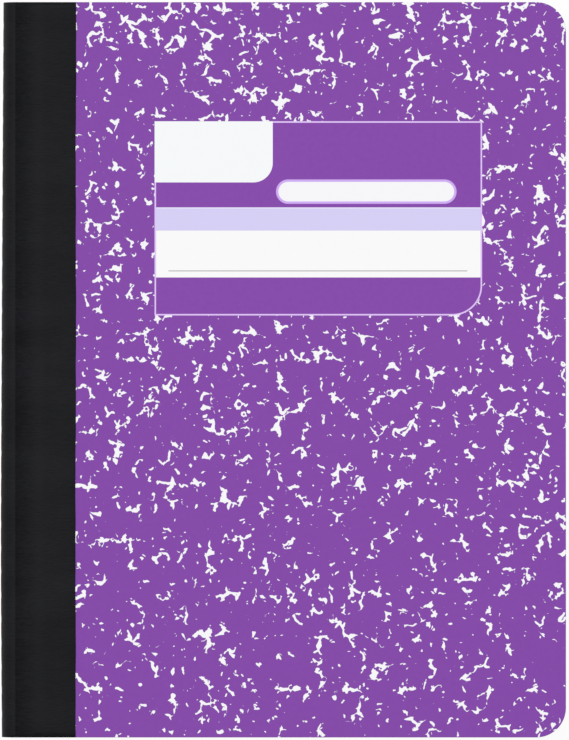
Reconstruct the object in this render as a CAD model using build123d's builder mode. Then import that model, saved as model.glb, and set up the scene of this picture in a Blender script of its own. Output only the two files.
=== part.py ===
import os

from build123d import *

os.makedirs("parts", exist_ok=True)

# A composition notebook, closed and lying on its back cover. Millimetres.
# +Z points up out of the front cover, +Y toward the head, +X toward the fore edge.
# The origin is under the middle of the book, on the plane it rests on.

# Driving dimensions
book_width = 190.5
book_height = 247.65
leaf_count = 100
leaf_thickness = 0.08
board_thickness = 0.8
tape_thickness = 0.2
tape_reach = 25.4
corner_radius = 10.0
thread_diameter = 0.45
leg_diameter = 0.6
stitch_pitch = 8.0

# Fits
block_clearance = 0.15
thread_clearance = 0.05

# Derived sizes: every layer goes round the same fold centre
block_thickness = leaf_count * leaf_thickness
block_radius = block_thickness / 2
board_inner_radius = block_radius + block_clearance
board_outer_radius = board_inner_radius + board_thickness
tape_outer_radius = board_outer_radius + tape_thickness
mid_z = tape_outer_radius
spine_x = -book_width / 2
fore_x = book_width / 2
fold_x = spine_x + tape_outer_radius
tape_edge_x = spine_x + tape_reach
flat_length = fore_x - fold_x
flat_mid_x = (fore_x + fold_x) / 2
tape_flat_length = tape_edge_x - fold_x
tape_mid_x = (tape_edge_x + fold_x) / 2
board_mid_offset = board_inner_radius + board_thickness / 2
tape_mid_offset = board_outer_radius + tape_thickness / 2

# The seam: one row of lockstitches along the fold
thread_radius = thread_diameter / 2
leg_radius = leg_diameter / 2
channel_radius = thread_radius + thread_clearance
hole_radius = leg_radius + thread_clearance
inner_run_x = fold_x + channel_radius
outer_run_x = fold_x - board_outer_radius + channel_radius
stitch_count = int((book_height - stitch_pitch / 2) // stitch_pitch)
leg_inner_x = inner_run_x - thread_radius
leg_length = leg_inner_x - outer_run_x

# Page block: fifty nested folded sheets, round at the fold and trimmed square at the fore edge
with BuildPart() as page_block:
    with BuildSketch(Plane.XZ):
        with Locations((fold_x, mid_z)):
            Circle(block_radius)
        with Locations((flat_mid_x, mid_z)):
            Rectangle(flat_length, block_thickness)
    extrude(amount=book_height / 2, both=True)
    fillet(page_block.edges().filter_by(Axis.Z).group_by(Axis.X)[-1], corner_radius)
    # the innermost sheet opens a little round the bobbin thread
    with BuildSketch(Plane.XZ):
        with Locations((inner_run_x, mid_z)):
            Circle(channel_radius)
    extrude(amount=book_height / 2, both=True, mode=Mode.SUBTRACT)
    # needle holes from the innermost fold to the outermost
    with BuildSketch(Plane.YZ.offset(fold_x - board_outer_radius)):
        with Locations((0, mid_z)):
            with GridLocations(stitch_pitch, stitch_pitch, stitch_count, 1):
                Circle(hole_radius)
    extrude(amount=board_outer_radius + channel_radius, mode=Mode.SUBTRACT)
page_block.part.label = "page_block"
export_step(page_block.part, "parts/page_block.step")

# Spine stretch of the cover board: bent half round the fold, with the seam's groove and holes
with BuildPart() as cover_spine:
    with BuildSketch(Plane.XZ):
        with Locations((fold_x, mid_z)):
            Circle(board_outer_radius)
            Circle(board_inner_radius, mode=Mode.SUBTRACT)
        with Locations((fold_x + board_outer_radius, mid_z)):
            Rectangle(2 * board_outer_radius, 2 * board_outer_radius, mode=Mode.SUBTRACT)
    extrude(amount=book_height / 2, both=True)
    # the pull of the thread sinks its outer run into the board
    with BuildSketch(Plane.XZ):
        with Locations((outer_run_x, mid_z)):
            Circle(channel_radius)
        with Locations((outer_run_x - channel_radius, mid_z)):
            Rectangle(2 * channel_radius, 2 * channel_radius)
    extrude(amount=book_height / 2, both=True, mode=Mode.SUBTRACT)
    with BuildSketch(Plane.YZ.offset(fold_x - board_outer_radius)):
        with Locations((0, mid_z)):
            with GridLocations(stitch_pitch, stitch_pitch, stitch_count, 1):
                Circle(hole_radius)
    extrude(amount=board_outer_radius, mode=Mode.SUBTRACT)
cover_spine.part.label = "cover_spine"
export_step(cover_spine.part, "parts/cover_spine.step")

# Spine stretch of the tape, glued round the board
with BuildPart() as tape_spine:
    with BuildSketch(Plane.XZ):
        with Locations((fold_x, mid_z)):
            Circle(tape_outer_radius)
            Circle(board_outer_radius, mode=Mode.SUBTRACT)
        with Locations((fold_x + tape_outer_radius, mid_z)):
            Rectangle(2 * tape_outer_radius, 2 * tape_outer_radius, mode=Mode.SUBTRACT)
    extrude(amount=book_height / 2, both=True)
tape_spine.part.label = "tape_spine"
export_step(tape_spine.part, "parts/tape_spine.step")

# Needle thread: a run along the outside of the fold, with a leg down through each hole
with BuildPart() as needle_thread:
    with BuildSketch(Plane.XZ):
        with Locations((outer_run_x, mid_z)):
            Circle(thread_radius)
    extrude(amount=book_height / 2, both=True)
    with BuildSketch(Plane.YZ.offset(outer_run_x)):
        with Locations((0, mid_z)):
            with GridLocations(stitch_pitch, stitch_pitch, stitch_count, 1):
                Circle(leg_radius)
    extrude(amount=leg_length)
needle_thread.part.label = "needle_thread"
export_step(needle_thread.part, "parts/needle_thread.step")

# Bobbin thread: a run along the innermost fold, caught by every leg
with BuildPart() as bobbin_thread:
    with BuildSketch(Plane.XZ):
        with Locations((inner_run_x, mid_z)):
            Circle(thread_radius)
    extrude(amount=book_height / 2, both=True)
bobbin_thread.part.label = "bobbin_thread"
export_step(bobbin_thread.part, "parts/bobbin_thread.step")

# Front cover: the flat stretch of the board above the pages
with BuildPart() as front_cover:
    with BuildSketch(Plane.XZ):
        with Locations((flat_mid_x, mid_z + board_mid_offset)):
            Rectangle(flat_length, board_thickness)
    extrude(amount=book_height / 2, both=True)
    fillet(front_cover.edges().filter_by(Axis.Z).group_by(Axis.X)[-1], corner_radius)
front_cover.part.label = "front_cover"
export_step(front_cover.part, "parts/front_cover.step")

# Front stretch of the tape
with BuildPart() as tape_front:
    with BuildSketch(Plane.XZ):
        with Locations((tape_mid_x, mid_z + tape_mid_offset)):
            Rectangle(tape_flat_length, tape_thickness)
    extrude(amount=book_height / 2, both=True)
tape_front.part.label = "tape_front"
export_step(tape_front.part, "parts/tape_front.step")

# Back cover: the flat stretch of the board below the pages
with BuildPart() as back_cover:
    with BuildSketch(Plane.XZ):
        with Locations((flat_mid_x, mid_z - board_mid_offset)):
            Rectangle(flat_length, board_thickness)
    extrude(amount=book_height / 2, both=True)
    fillet(back_cover.edges().filter_by(Axis.Z).group_by(Axis.X)[-1], corner_radius)
back_cover.part.label = "back_cover"
export_step(back_cover.part, "parts/back_cover.step")

# Back stretch of the tape, which the book rests on
with BuildPart() as tape_back:
    with BuildSketch(Plane.XZ):
        with Locations((tape_mid_x, mid_z - tape_mid_offset)):
            Rectangle(tape_flat_length, tape_thickness)
    extrude(amount=book_height / 2, both=True)
tape_back.part.label = "tape_back"
export_step(tape_back.part, "parts/tape_back.step")
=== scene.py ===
import math
import random

import bmesh
import bpy
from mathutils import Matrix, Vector


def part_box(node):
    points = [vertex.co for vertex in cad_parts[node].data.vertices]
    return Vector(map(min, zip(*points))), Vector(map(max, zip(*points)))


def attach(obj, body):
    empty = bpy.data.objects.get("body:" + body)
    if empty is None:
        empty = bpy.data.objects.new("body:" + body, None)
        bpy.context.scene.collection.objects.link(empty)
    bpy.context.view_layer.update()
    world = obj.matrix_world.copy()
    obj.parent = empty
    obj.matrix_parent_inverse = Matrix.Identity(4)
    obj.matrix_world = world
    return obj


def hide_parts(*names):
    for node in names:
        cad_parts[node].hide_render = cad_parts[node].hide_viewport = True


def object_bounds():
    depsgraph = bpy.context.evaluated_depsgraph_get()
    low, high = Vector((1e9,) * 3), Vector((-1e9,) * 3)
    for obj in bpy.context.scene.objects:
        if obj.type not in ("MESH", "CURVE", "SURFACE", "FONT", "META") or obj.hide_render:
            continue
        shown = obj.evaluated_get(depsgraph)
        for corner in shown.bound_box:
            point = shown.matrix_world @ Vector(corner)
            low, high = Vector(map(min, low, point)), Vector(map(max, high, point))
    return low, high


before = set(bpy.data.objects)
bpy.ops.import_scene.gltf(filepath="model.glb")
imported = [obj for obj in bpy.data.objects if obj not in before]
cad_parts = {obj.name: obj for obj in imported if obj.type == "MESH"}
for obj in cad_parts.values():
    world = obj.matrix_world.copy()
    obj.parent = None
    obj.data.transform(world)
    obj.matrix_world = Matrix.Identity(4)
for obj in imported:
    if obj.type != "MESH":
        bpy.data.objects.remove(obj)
cad_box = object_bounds()

# ---------------------------------------------------------------------------
# Page block. Fifty sheets of white writing paper, folded once, nested and sewn
# through the fold, then trimmed square on three sides with round fore corners.
# ---------------------------------------------------------------------------
MM = 0.001
block_low, block_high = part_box("page_block")
block_mid_z = (block_low.z + block_high.z) / 2
block_radius = (block_high.z - block_low.z) / 2
fold_x = block_low.x + block_radius
spine_reach = fold_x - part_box("tape_spine")[0].x
fore_x = block_high.x
half_height = block_high.y
corner_radius = 10.0 * MM
sheet_count = 50
sheet_pitch = block_radius / sheet_count
paper_share = 0.86          # the rest of each pitch is air between the sheets
rule_pitch = 8.73 * MM
first_rule_y = half_height - 35.0 * MM
rule_count = 25
margin_width = 31.75 * MM
page_skin = 0.3 * MM        # what counts as the face of an outer page
corner_steps = 8
fold_steps = 12


lean_from = -50.0 * MM      # above this the spine leans back toward the head
lean_until = -65.0 * MM     # and below this toward the tail
head_lean = 0.90 * MM
tail_lean = 0.36 * MM


def spine_lean(y):
    """How far the round of the spine stands back, as the book has settled a little crooked."""
    if y > lean_from:
        return head_lean * ((y - lean_from) / (173.8 * MM)) ** 1.15
    if y < lean_until:
        return tail_lean * ((lean_until - y) / (58.8 * MM)) ** 1.4
    return 0.0


def settled(x, y):
    """Draws the round of the spine in toward the crease by its lean. The creases stay straight."""
    if x >= fold_x:
        return x
    return fold_x + (x - fold_x) * (1 - spine_lean(y) / spine_reach)


def corner_half_height(x, trim, radius, half):
    """Half the height of a leaf or cover at x, which drops along the round fore corners."""
    into = x - (trim - radius)
    if into <= 0:
        return half
    return half - radius + math.sqrt(max(radius * radius - into * into, 0.0))


def build_sheets(name, first, last, rows, seed):
    """Nested folded sheets, each a closed solid that goes round the fold."""
    chance = random.Random(seed)
    bm = bmesh.new()
    uv = bm.loops.layers.uv.new("OFBake")
    for index in range(first, last):
        outer = block_radius - index * sheet_pitch
        inner = outer - sheet_pitch * paper_share
        slack = chance.uniform(-0.06, 0.0) * MM if index else 0.0
        shift = chance.uniform(-0.04, 0.0) * MM if index else 0.0
        stations = []
        trim = fore_x + slack
        for step in range(corner_steps + 1):
            angle = math.pi / 2 * step / corner_steps
            stations.append((trim - corner_radius + corner_radius * math.cos(angle), None))
        stations.append(((trim + fold_x) / 2, None))
        for step in range(fold_steps + 1):
            stations.append((fold_x, math.pi / 2 + math.pi * step / fold_steps))
        stations.append(((trim + fold_x) / 2, None))
        for step in range(corner_steps, -1, -1):
            angle = math.pi / 2 * step / corner_steps
            stations.append((trim - corner_radius + corner_radius * math.cos(angle), None))
        turn = corner_steps + 2
        rings = []
        for number, (x, angle) in enumerate(stations):
            half = corner_half_height(x, trim, corner_radius, half_height + shift)
            ring = []
            for radius in (outer, inner):
                if angle is None:
                    z = block_mid_z + (radius if number < turn else -radius)
                    px = x
                else:
                    px = fold_x + radius * math.cos(angle)
                    z = block_mid_z + radius * math.sin(angle)
                ring.append((px, z))
            (ox, oz), (ix, iz) = ring
            heights = [half - 2 * half * row / rows for row in range(rows + 1)]
            rings.append([bm.verts.new((settled(ox, y), y, oz)) for y in heights]
                         + [bm.verts.new((settled(ix, y), y, iz)) for y in reversed(heights)])
        around = 2 * rows + 2
        for number in range(len(rings) - 1):
            a, b = rings[number], rings[number + 1]
            for side in range(around):
                after = (side + 1) % around
                face = bm.faces.new((a[side], a[after], b[after], b[side]))
                cut_edge = side in (rows, around - 1)
                face.material_index = 0 if index == 0 and not cut_edge else 1
                face.smooth = not cut_edge
        for ring, flip in ((rings[0], True), (rings[-1], False)):
            face = bm.faces.new(ring[::-1] if flip else ring)
            face.material_index = 1
    bm.normal_update()
    mesh = bpy.data.meshes.new(name)
    lay_out_leaves(bm, uv)
    bm.to_mesh(mesh)
    bm.free()
    obj = bpy.data.objects.new(name, mesh)
    bpy.context.scene.collection.objects.link(obj)
    return obj


def lay_out_leaves(bm, uv):
    """The map gives the two open pages half each, and the cut edges a strip at the foot."""
    width = fore_x - block_low.x
    for face in bm.faces:
        normal = face.normal
        for loop in face.loops:
            x, y, z = loop.vert.co
            across = (x - block_low.x) / width
            along = (y + half_height) / (2 * half_height)
            level = (z - block_low.z) / (2 * block_radius)
            on_page = abs(normal.z) > 0.5 and face.material_index == 0
            if on_page and normal.z > 0 and z > block_high.z - page_skin:
                place = (0.005 + 0.485 * across, 0.14 + 0.855 * along)
            elif on_page and normal.z < 0 and z < block_low.z + page_skin:
                place = (0.510 + 0.485 * across, 0.14 + 0.855 * along)
            elif abs(normal.y) > 0.7:
                place = (0.005 + 0.485 * across, (0.005 if normal.y > 0 else 0.045) + 0.035 * level)
            elif abs(normal.x) > 0.6:
                place = (0.510 + 0.485 * along, (0.005 if normal.x > 0 else 0.045) + 0.035 * level)
            else:
                place = (0.01 + 0.98 * along, 0.09 + 0.04 * across)
            loop[uv].uv = place


def new_group(name, inputs, outputs):
    """An empty shader node group with named sockets."""
    tree = bpy.data.node_groups.new(name, "ShaderNodeTree")
    for label, kind, value in inputs:
        socket = tree.interface.new_socket(label, in_out="INPUT", socket_type="NodeSocket" + kind)
        if value is not None:
            socket.default_value = value
    for label, kind in outputs:
        tree.interface.new_socket(label, in_out="OUTPUT", socket_type="NodeSocket" + kind)
    return tree, tree.nodes.new("NodeGroupInput"), tree.nodes.new("NodeGroupOutput")


def feed(tree, socket, value):
    """Links a socket to a socket, or sets it to a number, colour or vector."""
    if isinstance(value, bpy.types.NodeSocket):
        tree.links.new(value, socket)
    else:
        socket.default_value = value


def calc(tree, operation, *values, clamp=False):
    node = tree.nodes.new("ShaderNodeMath")
    node.operation = operation
    node.use_clamp = clamp
    for socket, value in zip(node.inputs, values):
        feed(tree, socket, value)
    return node.outputs[0]


def vector_calc(tree, operation, *values):
    node = tree.nodes.new("ShaderNodeVectorMath")
    node.operation = operation
    for socket, value in zip(node.inputs, values):
        feed(tree, socket, value)
    return node.outputs["Value"] if operation in ("LENGTH", "DISTANCE", "DOT_PRODUCT") else node.outputs[0]


def scaled(tree, vector, amount):
    node = tree.nodes.new("ShaderNodeVectorMath")
    node.operation = "SCALE"
    feed(tree, node.inputs[0], vector)
    feed(tree, node.inputs["Scale"], amount)
    return node.outputs[0]


def split(tree, vector):
    node = tree.nodes.new("ShaderNodeSeparateXYZ")
    feed(tree, node.inputs[0], vector)
    return node.outputs


def join(tree, x, y, z):
    node = tree.nodes.new("ShaderNodeCombineXYZ")
    for socket, value in zip(node.inputs, (x, y, z)):
        feed(tree, socket, value)
    return node.outputs[0]


def blend_colour(tree, share, under, over):
    node = tree.nodes.new("ShaderNodeMix")
    node.data_type = "RGBA"
    feed(tree, node.inputs["Factor"], share)
    feed(tree, node.inputs[6], under)
    feed(tree, node.inputs[7], over)
    return node.outputs[2]


def ramp(tree, value, low, high, to_low=0.0, to_high=1.0):
    """A smooth step from to_low at low to to_high at high."""
    node = tree.nodes.new("ShaderNodeMapRange")
    node.interpolation_type = "SMOOTHSTEP"
    for socket, number in zip(node.inputs, (value, low, high, to_low, to_high)):
        feed(tree, socket, number)
    return node.outputs[0]


def noise(tree, vector, scale, detail=2.0, roughness=0.5, output="Fac", kind="3D"):
    node = tree.nodes.new("ShaderNodeTexNoise")
    node.noise_dimensions = kind
    feed(tree, node.inputs["Vector"], vector)
    node.inputs["Scale"].default_value = scale
    node.inputs["Detail"].default_value = detail
    node.inputs["Roughness"].default_value = roughness
    return node.outputs[output]


def place_group(tree, group, **values):
    node = tree.nodes.new("ShaderNodeGroup")
    node.node_tree = group
    for label, value in values.items():
        feed(tree, node.inputs[label.replace("_", " ")], value)
    return node.outputs


def new_material(name):
    """A material with its Principled BSDF and the piece's own coordinates in millimetres."""
    material = bpy.data.materials.new(name)
    material.use_nodes = True
    tree = material.node_tree
    shader = tree.nodes["Principled BSDF"]
    own = tree.nodes.new("ShaderNodeTexCoord").outputs["Object"]
    place = vector_calc(tree, "MULTIPLY", own, (1000.0, 1000.0, 1000.0))
    return material, tree, shader, place


def bump(tree, shader, height, strength, distance):
    node = tree.nodes.new("ShaderNodeBump")
    node.inputs["Strength"].default_value = strength
    node.inputs["Distance"].default_value = distance
    feed(tree, node.inputs["Height"], height)
    tree.links.new(node.outputs["Normal"], shader.inputs["Normal"])


# Paper fibre: a faint cloudy tint and a fine felt, shared by every paper and board face.
fibre_group, fibre_in, fibre_out = new_group(
    "paper_fibre",
    [("Place", "Vector", None), ("Cloud", "Float", 0.05), ("Grain", "Float", 0.05)],
    [("Tone", "Float"), ("Felt", "Float")])
cloud = noise(fibre_group, fibre_in.outputs["Place"], 0.12, 3.0)
stretch = vector_calc(fibre_group, "MULTIPLY", fibre_in.outputs["Place"], (1.0, 2.4, 1.6))
felt = noise(fibre_group, stretch, 3.2, 5.0, 0.65)
cloud_off = calc(fibre_group, "SUBTRACT", cloud, 0.5)
felt_off = calc(fibre_group, "SUBTRACT", felt, 0.5)
cloud_tone = calc(fibre_group, "MULTIPLY", cloud_off, fibre_in.outputs["Cloud"])
felt_tone = calc(fibre_group, "MULTIPLY", felt_off, fibre_in.outputs["Grain"])
tone = calc(fibre_group, "ADD", calc(fibre_group, "ADD", cloud_tone, felt_tone), 1.0)
feed(fibre_group, fibre_out.inputs["Tone"], tone)
feed(fibre_group, fibre_out.inputs["Felt"], felt)

# The open pages: blue rules right across, and a pink margin line down the left of each page.
paper, tree, shader, place = new_material("ruled_paper")
x, y, z = split(tree, place)
down = calc(tree, "DIVIDE", calc(tree, "SUBTRACT", first_rule_y / MM, y), rule_pitch / MM)
off_rule = calc(tree, "MULTIPLY", calc(tree, "PINGPONG", down, 0.5), rule_pitch / MM)
ink = noise(tree, place, 6.0, 2.0)
rule_line = ramp(tree, off_rule, 0.09, 0.19, 1.0, 0.0)
rule = calc(tree, "MULTIPLY", rule_line, ramp(tree, ink, 0.25, 0.55, 0.72, 1.0))
rule = calc(tree, "MULTIPLY", rule, calc(tree, "GREATER_THAN", down, -0.5))
rule = calc(tree, "MULTIPLY", rule, calc(tree, "LESS_THAN", down, rule_count - 0.5))
on_front = calc(tree, "GREATER_THAN", z, block_mid_z / MM)
front_margin = (fold_x + margin_width) / MM
back_margin = (fore_x - margin_width) / MM
margin_x = calc(tree, "ADD", calc(tree, "MULTIPLY", on_front, front_margin - back_margin), back_margin)
off_margin = calc(tree, "ABSOLUTE", calc(tree, "SUBTRACT", x, margin_x))
margin_line = ramp(tree, off_margin, 0.12, 0.26, 1.0, 0.0)
margin = calc(tree, "MULTIPLY", margin_line, ramp(tree, ink, 0.2, 0.5, 0.8, 1.0))
fibre = place_group(tree, fibre_group, Place=place, Cloud=0.04, Grain=0.07)
colour = blend_colour(tree, rule, scaled(tree, (0.86, 0.86, 0.83), fibre["Tone"]), (0.30, 0.48, 0.74, 1.0))
colour = blend_colour(tree, margin, colour, (0.82, 0.30, 0.38, 1.0))
tree.links.new(colour, shader.inputs["Base Color"])
shader.inputs["Roughness"].default_value = 0.82
shader.inputs["Specular IOR Level"].default_value = 0.25
bump(tree, shader, fibre["Felt"], 0.35, 0.00003)

# The cut edges: fine lines along the leaves, some of them a little proud, are painted darker where they sit
# low, and broader bands darker still: painted shade in the gaps between the leaves and between groups of
# them.
cut_paper, tree, shader, place = new_material("cut_leaf_edges")
lines = noise(tree, vector_calc(tree, "MULTIPLY", place, (0.05, 0.05, 9.0)), 1.0, 3.0, 0.7)
gap_shade_bands = noise(tree, vector_calc(tree, "MULTIPLY", place, (0.015, 0.015, 1.1)), 1.0, 2.0)
fibre = place_group(tree, fibre_group, Place=place, Cloud=0.05, Grain=0.10)
# Painted shade: the low lines and the broad bands darken the white of the leaf edges.
shade = calc(tree, "ADD", ramp(tree, lines, 0.3, 0.7, 0.72, 1.0), ramp(tree, gap_shade_bands, 0.3, 0.7, -0.12, 0.0))
shade = calc(tree, "MULTIPLY", shade, fibre["Tone"])
tree.links.new(scaled(tree, (0.80, 0.79, 0.75), shade), shader.inputs["Base Color"])
shader.inputs["Roughness"].default_value = 0.9
shader.inputs["Specular IOR Level"].default_value = 0.2
bump(tree, shader, lines, 0.5, 0.00006)

outer_sheet = build_sheets("outer_sheet", 0, 1, 12, 11)
inner_sheets = build_sheets("inner_sheets", 1, sheet_count, 1, 12)
for sheets in (outer_sheet, inner_sheets):
    sheets.data.materials.append(paper)
    sheets.data.materials.append(cut_paper)
    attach(sheets, "book")
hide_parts("page_block")
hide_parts("page_block")

# ---------------------------------------------------------------------------
# Seam. White spun thread, a lockstitch sewn down the fold through cover and
# paper: the outer thread lies under the tape, the inner one at the last fold.
# ---------------------------------------------------------------------------
spun, tree, shader, place = new_material("sewing_thread")
x, y, z = split(tree, place)
twist = calc(tree, "SINE", calc(tree, "ADD", calc(tree, "MULTIPLY", y, 9.0), calc(tree, "MULTIPLY", z, 14.0)))
fuzz = noise(tree, place, 9.0, 3.0)
ply = calc(tree, "ADD", calc(tree, "MULTIPLY", twist, 0.5), fuzz)
colour = blend_colour(tree, ramp(tree, ply, 0.1, 0.9), (0.50, 0.48, 0.43, 1.0), (0.84, 0.83, 0.78, 1.0))
tree.links.new(colour, shader.inputs["Base Color"])
shader.inputs["Roughness"].default_value = 0.75
shader.inputs["Sheen Weight"].default_value = 0.3
bump(tree, shader, ply, 0.6, 0.00005)
stitch_pitch = 8.0 * MM
stitch_count = 30
thread_radius = 0.225 * MM
leg_radius = 0.28 * MM
thread_sides = 12
thread_rows = 360


def build_thread(name, run_x, leg_end_x):
    """A three-ply run along the fold, with a leg down each hole if leg_end_x is given."""
    bm = bmesh.new()
    rings = []
    for row in range(thread_rows + 1):
        y = half_height - 2 * half_height * row / thread_rows
        x = settled(run_x, y)
        ring = []
        for side in range(thread_sides):
            angle = 2 * math.pi * side / thread_sides
            lobe = 1 - 0.12 * (1 - math.cos(3 * angle + y / MM * 5.2)) / 2
            ring.append(bm.verts.new((x + thread_radius * lobe * math.cos(angle), y,
                                      block_mid_z + thread_radius * lobe * math.sin(angle))))
        rings.append(ring)
    if leg_end_x is not None:
        for number in range(stitch_count):
            y = (number - (stitch_count - 1) / 2) * stitch_pitch
            tube = []
            for x in (settled(run_x, y), leg_end_x):
                ring = []
                for side in range(thread_sides):
                    angle = 2 * math.pi * side / thread_sides
                    ring.append(bm.verts.new((x, y + leg_radius * math.cos(angle),
                                              block_mid_z + leg_radius * math.sin(angle))))
                tube.append(ring)
            for side in range(thread_sides):
                after = (side + 1) % thread_sides
                bm.faces.new((tube[0][side], tube[0][after], tube[1][after], tube[1][side])).smooth = True
            bm.faces.new(tube[0])
            bm.faces.new(tube[1])
    for a, b in zip(rings, rings[1:]):
        for side in range(thread_sides):
            after = (side + 1) % thread_sides
            bm.faces.new((a[side], a[after], b[after], b[side])).smooth = True
    bm.faces.new(rings[0])
    bm.faces.new(rings[-1])
    bmesh.ops.recalc_face_normals(bm, faces=bm.faces)
    mesh = bpy.data.meshes.new(name)
    bm.to_mesh(mesh)
    bm.free()
    obj = bpy.data.objects.new(name, mesh)
    bpy.context.scene.collection.objects.link(obj)
    obj.data.materials.append(spun)
    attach(obj, "book")
    return obj


needle_low, needle_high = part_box("needle_thread")
bobbin_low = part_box("bobbin_thread")[0]
outer_thread = build_thread("outer_thread", needle_low.x + thread_radius, needle_high.x)
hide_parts("needle_thread")
inner_thread = build_thread("inner_thread", bobbin_low.x + thread_radius, None)
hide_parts("bobbin_thread")

# ---------------------------------------------------------------------------
# Cover board round the spine. Grey board made from waste paper, bent hot round
# the fold, so only its ends show, as a grey line between the tape and leaves.
# ---------------------------------------------------------------------------
grey_board, tree, shader, place = new_material("grey_board")
fibre = place_group(tree, fibre_group, Place=place, Cloud=0.12, Grain=0.45)
plies = noise(tree, vector_calc(tree, "MULTIPLY", place, (0.12, 0.12, 5.0)), 1.0, 3.0, 0.65)
flecks = noise(tree, place, 5.5, 4.0, 0.75)
shade = calc(tree, "MULTIPLY", fibre["Tone"], ramp(tree, plies, 0.3, 0.7, 0.78, 1.08))
core = scaled(tree, (0.37, 0.345, 0.31), shade)
colour = blend_colour(tree, ramp(tree, flecks, 0.60, 0.72), core, (0.12, 0.11, 0.11, 1.0))
tree.links.new(colour, shader.inputs["Base Color"])
shader.inputs["Roughness"].default_value = 0.92
shader.inputs["Specular IOR Level"].default_value = 0.2
bump(tree, shader, flecks, 0.7, 0.00008)
board_low, board_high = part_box("cover_spine")
board_outer = (board_high.z - board_low.z) / 2
board_inner = board_outer - (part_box("front_cover")[1].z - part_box("front_cover")[0].z)


def bent_strip(name, outer, inner, rows, steps, outer_pull=None):
    """A strip bent half round the fold, with very short faces at both creases."""
    turns = [0.0, 0.006] + [0.05 + 0.90 * step / steps for step in range(steps + 1)] + [0.994, 1.0]
    bm = bmesh.new()
    rings = []
    for row in range(rows + 1):
        y = -half_height + 2 * half_height * row / rows
        ring = []
        for radius in (outer, inner):
            side = []
            for turn in turns:
                angle = math.pi / 2 + math.pi * turn
                pull = outer_pull(y, angle) if outer_pull and radius == outer else 0.0
                x = fold_x + (radius - pull) * math.cos(angle)
                side.append(bm.verts.new((settled(x, y), y, block_mid_z + (radius - pull) * math.sin(angle))))
            ring.append(side)
        rings.append(ring[0] + ring[1][::-1])
    around = len(rings[0])
    for a, b in zip(rings, rings[1:]):
        for number in range(around):
            after = (number + 1) % around
            face = bm.faces.new((a[number], a[after], b[after], b[number]))
            on_end = number in (len(turns) - 1, around - 1)
            face.smooth = not on_end
            face.material_index = 0 if number < len(turns) - 1 else 1
    for ring in (rings[0], rings[-1]):
        bm.faces.new(ring)
    bmesh.ops.recalc_face_normals(bm, faces=bm.faces)
    mesh = bpy.data.meshes.new(name)
    bm.to_mesh(mesh)
    bm.free()
    obj = bpy.data.objects.new(name, mesh)
    bpy.context.scene.collection.objects.link(obj)
    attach(obj, "book")
    return obj


spine_board = bent_strip("spine_board", board_outer, board_inner, 40, 18)
spine_board.data.materials.append(grey_board)
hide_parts("cover_spine")

# ---------------------------------------------------------------------------
# Front and back cover. Stiff board with a printed and varnished face of purple
# marbling, the white paper left bare between the colour's drops, and a plain
# printed form inside. Trimmed with the leaves, which crushes the edges a little.
# ---------------------------------------------------------------------------
front_low, front_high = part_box("front_cover")
back_low, back_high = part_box("back_cover")
cover_half = front_high.y
top_crush = 0.22 * MM
inside_crush = 0.10 * MM
board_corner_steps = 16

# Marbling: large drops of two sizes spread until they nearly meet, and leave bare
# a broken web with pointed arms. Small drops fall into it, and specks stay bare.
marbling, group_in, group_out = new_group(
    "marbling",
    [("Place", "Vector", None), ("Density", "Float", 0.0)],
    [("Bare", "Float")])
at = group_in.outputs["Place"]
sway = noise(marbling, at, 0.3, 1.6, 0.5, "Color", "2D")
sway = vector_calc(marbling, "SUBTRACT", sway, (0.5, 0.5, 0.5))
bent = vector_calc(marbling, "ADD", at, scaled(marbling, sway, 3.6))


def drops(tree, vector, size, feature, seed):
    """Millimetres to the wall or the middle of the nearest drop of one size, and its lot."""
    node = tree.nodes.new("ShaderNodeTexVoronoi")
    node.voronoi_dimensions = "2D"
    node.feature = feature
    feed(tree, node.inputs["Vector"], vector_calc(tree, "ADD", vector, (seed * 37.7, seed * -53.3, 0.0)))
    node.inputs["Scale"].default_value = 1.0 / size
    node.inputs["Randomness"].default_value = 0.9
    return calc(tree, "MULTIPLY", node.outputs["Distance"], size), node.outputs.get("Color")


def drop_radius(tree, lot, share, most):
    """Only the drops whose lot is above the share are there, and the luckiest is the widest."""
    return calc(tree, "MULTIPLY", calc(tree, "SUBTRACT", split(tree, lot)[0], share), most / (1 - share))


# The density fed in also carries a painted highlight: more bare white toward the head near the spine.
density_with_painted_gloss = group_in.outputs["Density"]
bare = None
for size, seed, patch, fill, gain, cut, widest in (
        (4.6, 1, 0.16, 0.88, 8.0, 0.585, 0.60), (3.2, 2, 0.28, 1.02, 6.0, 0.68, 0.40)):
    wall, _ = drops(marbling, bent, size, "DISTANCE_TO_EDGE", seed)
    middle, _ = drops(marbling, bent, size, "F1", seed)
    patches = vector_calc(marbling, "ADD", at, (seed * 91.0, seed * 17.0, 0.0))
    swell = calc(marbling, "ADD", noise(marbling, patches, patch, 1.5, 0.5, "Fac", "2D"), density_with_painted_gloss)
    reach = calc(marbling, "ADD", calc(marbling, "MULTIPLY", swell, -0.8 * size), (fill + 0.4) * size)
    gap = calc(marbling, "SUBTRACT", middle, reach)
    width = calc(marbling, "MULTIPLY", calc(marbling, "SUBTRACT", swell, cut), gain)
    arm = calc(marbling, "SUBTRACT", calc(marbling, "MINIMUM", width, widest), wall)
    layer = calc(marbling, "SMOOTH_MAX", gap, arm, 0.3)
    bare = layer if bare is None else calc(marbling, "SMOOTH_MAX", bare, layer, 0.3)
middle, lot = drops(marbling, at, 2.2, "F1", 4)
small_drops = calc(marbling, "SUBTRACT", middle, drop_radius(marbling, lot, 0.3, 0.85))
bare = calc(marbling, "SMOOTH_MIN", bare, small_drops, 0.1)
middle, lot = drops(marbling, bent, 3.8, "F1", 7)
specks = calc(marbling, "SUBTRACT", drop_radius(marbling, lot, 0.66, 0.45), middle)
bare = calc(marbling, "SMOOTH_MAX", bare, specks, 0.15)
feed(marbling, group_out.inputs["Bare"], ramp(marbling, bare, -0.05, 0.05))

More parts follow.
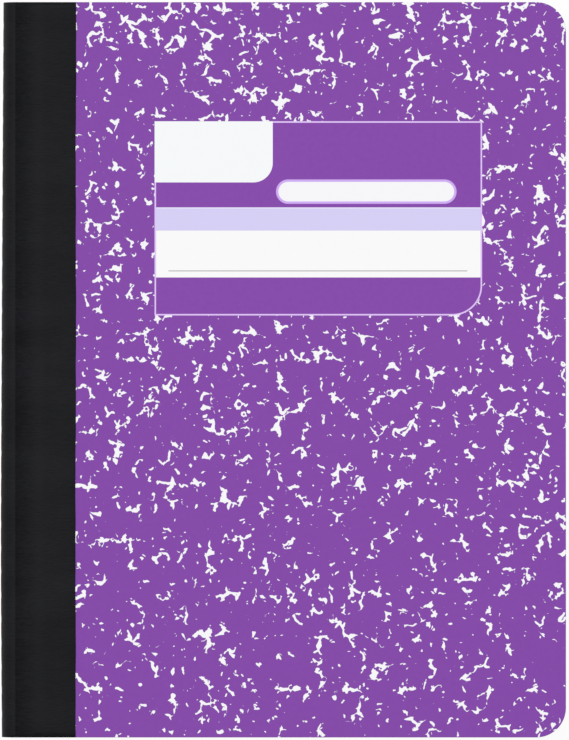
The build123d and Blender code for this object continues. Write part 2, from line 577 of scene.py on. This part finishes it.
# A plain rectangle with only its lower fore corner round, as signed distance in millimetres.
corner_box, group_in, group_out = new_group(
    "corner_box",
    [("Place", "Vector", None), ("Centre", "Vector", None),
     ("Half", "Vector", None), ("Radius", "Float", 0.0)],
    [("Distance", "Float")])
from_centre = vector_calc(corner_box, "SUBTRACT", group_in.outputs["Place"], group_in.outputs["Centre"])
x, y, _ = split(corner_box, from_centre)
half_x, half_y, _ = split(corner_box, group_in.outputs["Half"])
fore = calc(corner_box, "GREATER_THAN", x, 0.0)
lower_fore = calc(corner_box, "MULTIPLY", fore, calc(corner_box, "LESS_THAN", y, 0.0))
round_off = calc(corner_box, "MULTIPLY", lower_fore, group_in.outputs["Radius"])
past_x = calc(corner_box, "SUBTRACT", calc(corner_box, "ABSOLUTE", x), half_x)
past_y = calc(corner_box, "SUBTRACT", calc(corner_box, "ABSOLUTE", y), half_y)
over_x = calc(corner_box, "ADD", past_x, round_off)
over_y = calc(corner_box, "ADD", past_y, round_off)
outside = vector_calc(corner_box, "LENGTH", join(
    corner_box, calc(corner_box, "MAXIMUM", over_x, 0.0), calc(corner_box, "MAXIMUM", over_y, 0.0), 0.0))
inside = calc(corner_box, "MINIMUM", calc(corner_box, "MAXIMUM", over_x, over_y), 0.0)
feed(corner_box, group_out.inputs["Distance"],
     calc(corner_box, "SUBTRACT", calc(corner_box, "ADD", outside, inside), round_off))


def field(tree, place, low, high, radius=0.0, soft=0.06):
    """The share of a printed field that covers this point."""
    centre = ((low[0] + high[0]) / 2, (low[1] + high[1]) / 2, 0.0)
    half = ((high[0] - low[0]) / 2, (high[1] - low[1]) / 2, 0.0)
    flat = join(tree, *split(tree, place)[:2], 0.0)
    distance = place_group(tree, corner_box, Place=flat, Centre=centre, Half=half, Radius=radius)["Distance"]
    return ramp(tree, distance, -soft, soft, 1.0, 0.0)


def capsule(tree, place, low, high, grow=0.0, soft=0.06):
    """A bar with round ends."""
    radius = (high[1] - low[1]) / 2
    x, y, _ = split(tree, place)
    reach = (high[0] - low[0]) / 2 - radius
    along = calc(tree, "ABSOLUTE", calc(tree, "SUBTRACT", x, (low[0] + high[0]) / 2))
    over = calc(tree, "SUBTRACT", along, reach)
    up = calc(tree, "SUBTRACT", y, (low[1] + high[1]) / 2)
    distance = vector_calc(tree, "LENGTH", join(tree, calc(tree, "MAXIMUM", over, 0.0), up, 0.0))
    return ramp(tree, distance, radius + grow - soft, radius + grow + soft, 1.0, 0.0)


purple = (0.212, 0.044, 0.378, 1.0)
label_purple = (0.222, 0.045, 0.392, 1.0)
bare_white = (0.93, 0.93, 0.95, 1.0)
lilac = (0.67, 0.62, 0.92, 1.0)
pale_lilac = (0.76, 0.56, 0.95, 1.0)


def printed_face(name, shift, with_label):
    """The varnished outer face: marbling with a painted highlight toward the head, and on the front cover the
    title label over it.
    """
    material, tree, shader, place = new_material(name)
    x, y, z = split(tree, place)
    moved = vector_calc(tree, "ADD", place, shift)
    drift = noise(tree, moved, 0.028, 1.0, 0.5, "Fac", "2D")
    # Painted highlight: toward the head, most of all near the spine, the marbling gets more bare white, which
    # stands in for the gloss of the varnish there; the slow drift is density that differs at random.
    highlight_at_head = ramp(tree, y, 78.0, 122.0)
    highlight_toward_spine = ramp(tree, x, -60.0, 60.0, 1.0, 0.45)
    drift = calc(tree, "MULTIPLY", calc(tree, "SUBTRACT", drift, 0.5), 0.12)
    density_with_painted_gloss = calc(tree, "ADD", drift, calc(tree, "MULTIPLY", calc(tree, "MULTIPLY", highlight_at_head, highlight_toward_spine), 0.05))
    bare = place_group(tree, marbling, Place=moved, Density=density_with_painted_gloss)["Bare"]
    fibre = place_group(tree, fibre_group, Place=place, Cloud=0.05, Grain=0.03)
    colour = blend_colour(tree, bare, scaled(tree, purple[:3], fibre["Tone"]), bare_white)
    if with_label:
        on_label = field(tree, place, (-43.3, 18.3), (67.0, 83.7), 10.0)
        within = field(tree, place, (-42.8, 18.8), (66.5, 83.2), 9.5)
        tab = field(tree, place, (-43.3, 63.1), (-3.5, 83.7), 6.6)
        band = field(tree, place, (-43.3, 46.9), (67.0, 54.5))
        band_line = field(tree, place, (-43.3, 54.3), (67.0, 54.7))
        writing = field(tree, place, (-42.8, 31.1), (66.5, 46.9))
        rule = field(tree, place, (-38.6, 33.15), (62.0, 33.45))
        plaque = capsule(tree, place, (-1.6, 56.7), (57.6, 63.3))
        plaque_rim = capsule(tree, place, (-1.6, 56.7), (57.6, 63.3), 0.8)
        title = blend_colour(tree, calc(tree, "MULTIPLY", band, within), label_purple, lilac)
        title = blend_colour(tree, calc(tree, "MULTIPLY", band_line, within), title, (0.80, 0.74, 0.97, 1.0))
        title = blend_colour(tree, writing, title, (0.95, 0.95, 0.95, 1.0))
        title = blend_colour(tree, rule, title, (0.36, 0.36, 0.38, 1.0))
        title = blend_colour(tree, plaque_rim, title, (0.62, 0.40, 0.90, 1.0))
        title = blend_colour(tree, plaque, title, (0.93, 0.92, 0.95, 1.0))
        title = blend_colour(tree, within, pale_lilac, title)
        title = blend_colour(tree, tab, title, (0.92, 0.94, 0.95, 1.0))
        colour = blend_colour(tree, on_label, colour, title)
    tree.links.new(colour, shader.inputs["Base Color"])
    varnish = noise(tree, place, 0.6, 4.0, 0.6)
    tree.links.new(ramp(tree, varnish, 0.3, 0.7, 0.34, 0.46), shader.inputs["Roughness"])
    shader.inputs["Specular IOR Level"].default_value = 0.4
    bump(tree, shader, fibre["Felt"], 0.25, 0.00002)
    return material


front_print = printed_face("front_marbling", (0.0, 0.0, 0.0), True)
back_print = printed_face("back_marbling", (311.0, -187.0, 0.0), False)


# Inside faces: thin grey ruled forms with blank boxes.
def inside_form(name, rows, columns):
    material, tree, shader, place = new_material(name)
    x, y, z = split(tree, place)
    left, right, foot, top = -66.0, 82.0, -96.0, 78.0
    step_x = (right - left) / columns
    step_y = (top - foot) / rows
    off_lines = []
    for value, start, step in ((x, left, step_x), (y, foot, step_y)):
        cells = calc(tree, "DIVIDE", calc(tree, "SUBTRACT", value, start), step)
        off_lines.append(calc(tree, "MULTIPLY", calc(tree, "PINGPONG", cells, 0.5), step))
    line = ramp(tree, calc(tree, "MINIMUM", *off_lines), 0.10, 0.22, 1.0, 0.0)
    inside_table = field(tree, place, (left - 0.3, foot - 0.3), (right + 0.3, top + 0.3))
    line = calc(tree, "MULTIPLY", line, inside_table)
    header = field(tree, place, (left, top - step_y), (right, top))
    title_bar = field(tree, place, (left, top + 8.0), (right, top + 17.0))
    fibre = place_group(tree, fibre_group, Place=place, Cloud=0.10, Grain=0.12)
    sheet = scaled(tree, (0.72, 0.71, 0.68), fibre["Tone"])
    colour = blend_colour(tree, calc(tree, "MULTIPLY", header, 0.5), sheet, (0.42, 0.36, 0.52, 1.0))
    colour = blend_colour(tree, title_bar, colour, (0.30, 0.17, 0.44, 1.0))
    colour = blend_colour(tree, line, colour, (0.20, 0.17, 0.25, 1.0))
    tree.links.new(colour, shader.inputs["Base Color"])
    shader.inputs["Roughness"].default_value = 0.72
    shader.inputs["Specular IOR Level"].default_value = 0.3
    bump(tree, shader, fibre["Felt"], 0.4, 0.00003)
    return material


front_inside = inside_form("front_inside_form", 12, 6)
back_inside = inside_form("back_inside_form", 18, 4)


def build_cover(name, low, high, outer_up):
    """A board with a crushed trimmed edge on three sides and a straight crease on the fourth."""
    thick = high.z - low.z
    profile = [
        (top_crush, 0.0), (top_crush * 0.45, 0.025 * MM), (top_crush * 0.12, 0.09 * MM), (0.0, 0.22 * MM),
        (0.0, thick - 0.12 * MM), (inside_crush * 0.3, thick - 0.035 * MM), (inside_crush, thick)]
    bm = bmesh.new()
    uv = bm.loops.layers.uv.new("OFBake")
    loops = []
    for inset, depth in profile:
        z = high.z - depth if outer_up else low.z + depth
        trim = high.x - inset
        half = cover_half - inset
        radius = corner_radius - inset
        outline = [(low.x, half)]
        for start, y in ((math.pi / 2, half - radius), (0.0, radius - half)):
            for step in range(board_corner_steps + 1):
                angle = start - math.pi / 2 * step / board_corner_steps
                outline.append((trim - radius + radius * math.cos(angle), y + radius * math.sin(angle)))
        outline.append((low.x, -half))
        loops.append([bm.verts.new((x, y, z)) for x, y in outline])
    count = len(loops[0])
    for level in range(len(loops) - 1):
        for number in range(count):
            after = (number + 1) % count
            a, b = loops[level], loops[level + 1]
            face = bm.faces.new((a[number], b[number], b[after], a[after]))
            face.material_index = 2 if number == count - 1 else 0 if level < 2 else 1
            face.smooth = number != count - 1
    outer_face = bm.faces.new(loops[0])
    inner_face = bm.faces.new(loops[-1][::-1])
    inner_face.material_index = 2
    bmesh.ops.recalc_face_normals(bm, faces=bm.faces)
    bm.normal_update()
    for face in bm.faces:
        for loop in face.loops:
            x, y, z = loop.vert.co
            across = (x - low.x) / (high.x - low.x)
            along = (y + cover_half) / (2 * cover_half)
            level = (z - low.z) / thick
            if face is outer_face or face.material_index == 0:
                place = (0.004 + 0.738 * across, 0.006 + 0.988 * along)
            elif face.material_index == 2 and face is not inner_face:
                place = (0.768 + 0.004 * level, 0.006 + 0.988 * along)
            elif face is inner_face:
                place = (0.775 + 0.215 * across, 0.006 + 0.988 * along)
            elif abs(face.normal.y) > 0.7:
                side = 0.005 if face.normal.y > 0 else 0.0
                place = (0.746 + 0.004 * level + side, 0.006 + 0.988 * across)
            else:
                side = 0.005 if face.normal.x > 0 else 0.0
                place = (0.758 + 0.004 * level + side, 0.006 + 0.988 * along)
            loop[uv].uv = place
    mesh = bpy.data.meshes.new(name)
    bm.to_mesh(mesh)
    bm.free()
    obj = bpy.data.objects.new(name, mesh)
    bpy.context.scene.collection.objects.link(obj)
    return obj


front_board = build_cover("front_board", front_low, front_high, True)
back_board = build_cover("back_board", back_low, back_high, False)
for board, face_print, form, body, node in (
        (front_board, front_print, front_inside, "front", "front_cover"),
        (back_board, back_print, back_inside, "back", "back_cover")):
    board.data.materials.append(face_print)
    board.data.materials.append(grey_board)
    board.data.materials.append(form)
    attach(board, body)
    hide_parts(node)

# ---------------------------------------------------------------------------
# Spine tape. Black paper-backed cloth tape with a fine crepe grain, glued round
# the spine and on to both covers, rubbed down by hand, so it is not quite flat.
# ---------------------------------------------------------------------------
tape_low, tape_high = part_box("tape_front")
tape_back_low, tape_back_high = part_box("tape_back")
tape_thick = tape_high.z - tape_low.z

tape_cloth, tree, shader, place = new_material("black_tape")
crepe = noise(tree, vector_calc(tree, "MULTIPLY", place, (0.42, 2.1, 0.42)), 1.0, 4.0, 0.62)
weave = noise(tree, place, 3.4, 2.0, 0.5)
waves = noise(tree, vector_calc(tree, "MULTIPLY", place, (0.03, 0.09, 0.03)), 1.0, 2.0)
relief = calc(tree, "ADD", calc(tree, "MULTIPLY", crepe, 0.75), calc(tree, "MULTIPLY", weave, 0.25))
shade = calc(tree, "ADD", relief, calc(tree, "MULTIPLY", waves, 0.35))
# Painted shade: the colour follows the crepe relief that the bump raises, darker in its hollows and lighter
# on its ridges; the slow waves are tone that differs at random.
colour = blend_colour(
    tree, ramp(tree, shade, 0.45, 0.95), (0.0022, 0.0024, 0.0036, 1.0), (0.0105, 0.0110, 0.0140, 1.0))
tree.links.new(colour, shader.inputs["Base Color"])
tree.links.new(ramp(tree, crepe, 0.3, 0.7, 0.50, 0.66), shader.inputs["Roughness"])
shader.inputs["Specular IOR Level"].default_value = 0.13
bump(tree, shader, relief, 0.8, 0.00018)


def strip_object(name, bm):
    mesh = bpy.data.meshes.new(name)
    bmesh.ops.recalc_face_normals(bm, faces=bm.faces)
    bm.to_mesh(mesh)
    bm.free()
    obj = bpy.data.objects.new(name, mesh)
    bpy.context.scene.collection.objects.link(obj)
    obj.data.materials.append(tape_cloth)
    return obj


def build_flat_tape(name, low, high, outer_up, seed):
    """A flat stretch of tape: its free edge is cut a little unevenly and is rubbed down to the board."""
    chance = random.Random(seed)
    phases = [chance.uniform(0, 2 * math.pi) for _ in range(4)]
    rows = 124
    section = [(0.0, 1.0), (0.5, 1.0), (0.9, 1.0), (0.985, 0.97), (0.996, 0.8),
               (1.0, 0.4), (1.0, 0.0), (0.5, 0.0), (0.0, 0.0)]
    bm = bmesh.new()
    rings = []
    for row in range(rows + 1):
        y = low.y + (high.y - low.y) * row / rows
        stray = sum(sway * math.sin(y * pace + phase)
                    for sway, pace, phase in zip((0.07, 0.04, 0.03), (55, 170, 420), phases))
        edge = high.x + (0.10 * y / half_height + stray) * MM
        ring = []
        for share, rise in section:
            x = low.x + (edge - low.x) * share
            height = tape_thick * rise
            z = low.z + height if outer_up else high.z - height
            ring.append(bm.verts.new((x, y, z)))
        rings.append(ring)
    count = len(section)
    for a, b in zip(rings, rings[1:]):
        for number in range(count):
            after = (number + 1) % count
            face = bm.faces.new((a[number], a[after], b[after], b[number]))
            face.smooth = number < 6
    bm.faces.new(rings[0])
    bm.faces.new(rings[-1][::-1])
    return strip_object(name, bm)


def stitch_pull(y, angle):
    """The seam below draws the tape in a little at each stitch."""
    if abs(y) > stitch_pitch * stitch_count / 2:
        return 0.0
    at_stitch = max(math.cos((y / stitch_pitch - 0.5) * 2 * math.pi), 0.0) ** 3
    off = (angle - math.pi) * spine_reach / MM
    return 0.13 * MM * at_stitch * math.exp(-(off / 0.9) ** 2)


front_tape = build_flat_tape("front_tape", tape_low, tape_high, True, 21)
back_tape = build_flat_tape("back_tape", tape_back_low, tape_back_high, False, 22)
spine_tape = bent_strip("spine_tape", spine_reach, board_outer, 240, 20, stitch_pull)
spine_tape.data.materials.append(tape_cloth)
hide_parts("tape_spine")
for strip, body, node in ((front_tape, "front", "tape_front"), (back_tape, "back", "tape_back")):
    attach(strip, body)
    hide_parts(node)

# ---------------------------------------------------------------------------
# Studio. A white table under one broad soft lamp high at the head, with even
# light from all round, and a long lens looking straight down at the cover.
# ---------------------------------------------------------------------------
floor_mesh = bpy.data.meshes.new("floor")
reach = 4.0
floor_gap = 0.0001          # keeps the table just under what rests on it
floor_corners = [(-reach, -reach, 0.0), (reach, -reach, 0.0), (reach, reach, 0.0), (-reach, reach, 0.0)]
floor_mesh.from_pydata(floor_corners, [], [(0, 1, 2, 3)])
floor = bpy.data.objects.new("floor", floor_mesh)
bpy.context.scene.collection.objects.link(floor)
floor.location.z = cad_box[0][2] - floor_gap
table_top = bpy.data.materials.new("white_table")
table_top.use_nodes = True
tree = table_top.node_tree
shader = tree.nodes["Principled BSDF"]
shader.inputs["Base Color"].default_value = (0.9, 0.9, 0.9, 1.0)
shader.inputs["Roughness"].default_value = 0.9
glow = tree.nodes.new("ShaderNodeEmission")
path = tree.nodes.new("ShaderNodeLightPath")
through = calc(tree, "MAXIMUM", path.outputs["Is Glossy Ray"], path.outputs["Is Transmission Ray"])
seen = calc(tree, "MAXIMUM", path.outputs["Is Camera Ray"], through)
mix = tree.nodes.new("ShaderNodeMixShader")
tree.links.new(calc(tree, "MULTIPLY", seen, 0.93), mix.inputs[0])
tree.links.new(shader.outputs[0], mix.inputs[1])
tree.links.new(glow.outputs[0], mix.inputs[2])
tree.links.new(mix.outputs[0], tree.nodes["Material Output"].inputs["Surface"])
floor_mesh.materials.append(table_top)

world = bpy.data.worlds.new("studio")
bpy.context.scene.world = world
world.use_nodes = True
world.node_tree.nodes["Background"].inputs["Color"].default_value = (1.0, 1.0, 1.0, 1.0)
world.node_tree.nodes["Background"].inputs["Strength"].default_value = 0.62

lamp_data = bpy.data.lights.new("key_lamp", "SUN")
lamp_data.energy = 1.35
lamp_data.angle = math.radians(24)
lamp = bpy.data.objects.new("key_lamp", lamp_data)
bpy.context.scene.collection.objects.link(lamp)
lamp.rotation_euler = Vector((0.35, -0.45, -1.0)).to_track_quat("-Z", "Y").to_euler()

bpy.context.scene.view_settings.view_transform = "Standard"

camera_data = bpy.data.cameras.new("camera")
camera = bpy.data.objects.new("camera", camera_data)
bpy.context.scene.collection.objects.link(camera)
camera_height = 3.0
top_z = cad_box[1][2]
frame_height = 249.195 * MM
sensor = 36.0
camera_data.sensor_width = sensor
camera_data.lens = sensor * (camera_height - top_z) / frame_height
camera_data.clip_end = 20.0
camera.location = (0.46 * MM, -0.07 * MM, camera_height)
bpy.context.scene.camera = camera
